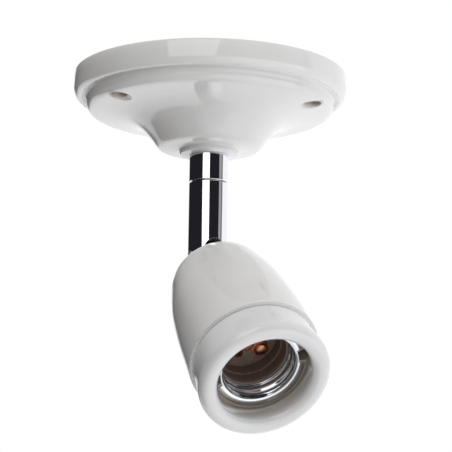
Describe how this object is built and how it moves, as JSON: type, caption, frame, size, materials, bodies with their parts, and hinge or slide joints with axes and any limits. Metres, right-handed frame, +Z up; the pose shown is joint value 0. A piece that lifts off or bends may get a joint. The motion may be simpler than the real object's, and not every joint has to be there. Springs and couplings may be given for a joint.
{
  "type": "heat lamp fixture",
  "caption": "Ceiling-mounted porcelain heat lamp holder on a short chrome swivel tube that pans and tilts.",
  "frame": {"origin": "centre of the ceiling rose's back face, on the swivel tube's axis", "axes": "+Z up into the ceiling; the fixture hangs towards -Z and its lamp mouth faces down, towards -Y and a little towards +X"},
  "size_m": [0.1, 0.1157, 0.1374],
  "materials": {
    "rose_porcelain": "glossy white glaze",
    "dome_porcelain": "glossy white glaze",
    "skirt_porcelain": "glossy white glaze",
    "steatite": "unglazed brown-grey steatite",
    "block_steatite": "unglazed off-white steatite",
    "tube_chrome": "polished chrome plate",
    "collar_chrome": "polished chrome plate",
    "shell_nickel": "bright nickel plate",
    "knuckle_bronze": "dark burnished steel",
    "zinc_steel": "bright zinc plate",
    "screw_steel": "nickel plated steel",
    "spring_steel": "blued spring steel",
    "brass": "machined brass",
    "copper": "rolled copper",
    "live_sleeve": "brown silicone insulation",
    "neutral_sleeve": "blue silicone insulation",
    "earth_sleeve": "green and yellow silicone insulation"
  },
  "bodies": {
    "rose": {"ceiling_rose": "rose_porcelain", "nipple": "zinc_steel", "nipple_washer": "zinc_steel", "nipple_locknut": "zinc_steel", "earth_tag": "brass", "fixed_collar": "collar_chrome", "terminal_block": "block_steatite", "terminal_tubes": "brass", "terminal_screws": "screw_steel", "block_screws": "screw_steel", "live_lead_rose": "live_sleeve", "neutral_lead_rose": "neutral_sleeve", "earth_lead_rose": "earth_sleeve"},
    "swivel": {"swivel_tube": "tube_chrome", "swivel_bush": "brass", "swivel_clip": "spring_steel", "live_lead_tube": "live_sleeve", "neutral_lead_tube": "neutral_sleeve"},
    "holder": {"knuckle": "knuckle_bronze", "pivot_screws": "screw_steel", "stem_washer": "zinc_steel", "stem_locknut": "zinc_steel", "holder_dome": "dome_porcelain", "holder_skirt": "skirt_porcelain", "core": "steatite", "thread_shell": "shell_nickel", "core_screws": "screw_steel", "centre_contact": "copper", "side_contact": "copper", "contact_rivets": "copper", "holder_terminals": "brass", "holder_terminal_screws": "screw_steel", "live_lead_holder": "live_sleeve", "neutral_lead_holder": "neutral_sleeve"}
  },
  "joints": [
    {"name": "pan", "type": "hinge", "parent": "rose", "child": "swivel", "pos_m": [0, 0, -0.0407], "axis": [0, 0, 1], "range_deg": [-175, 175]},
    {"name": "tilt", "type": "hinge", "parent": "swivel", "child": "holder", "pos_m": [0, 0, -0.0694], "axis": [0.9532, 0.3024, 0], "range_deg": [-40, 129]}
  ]
}
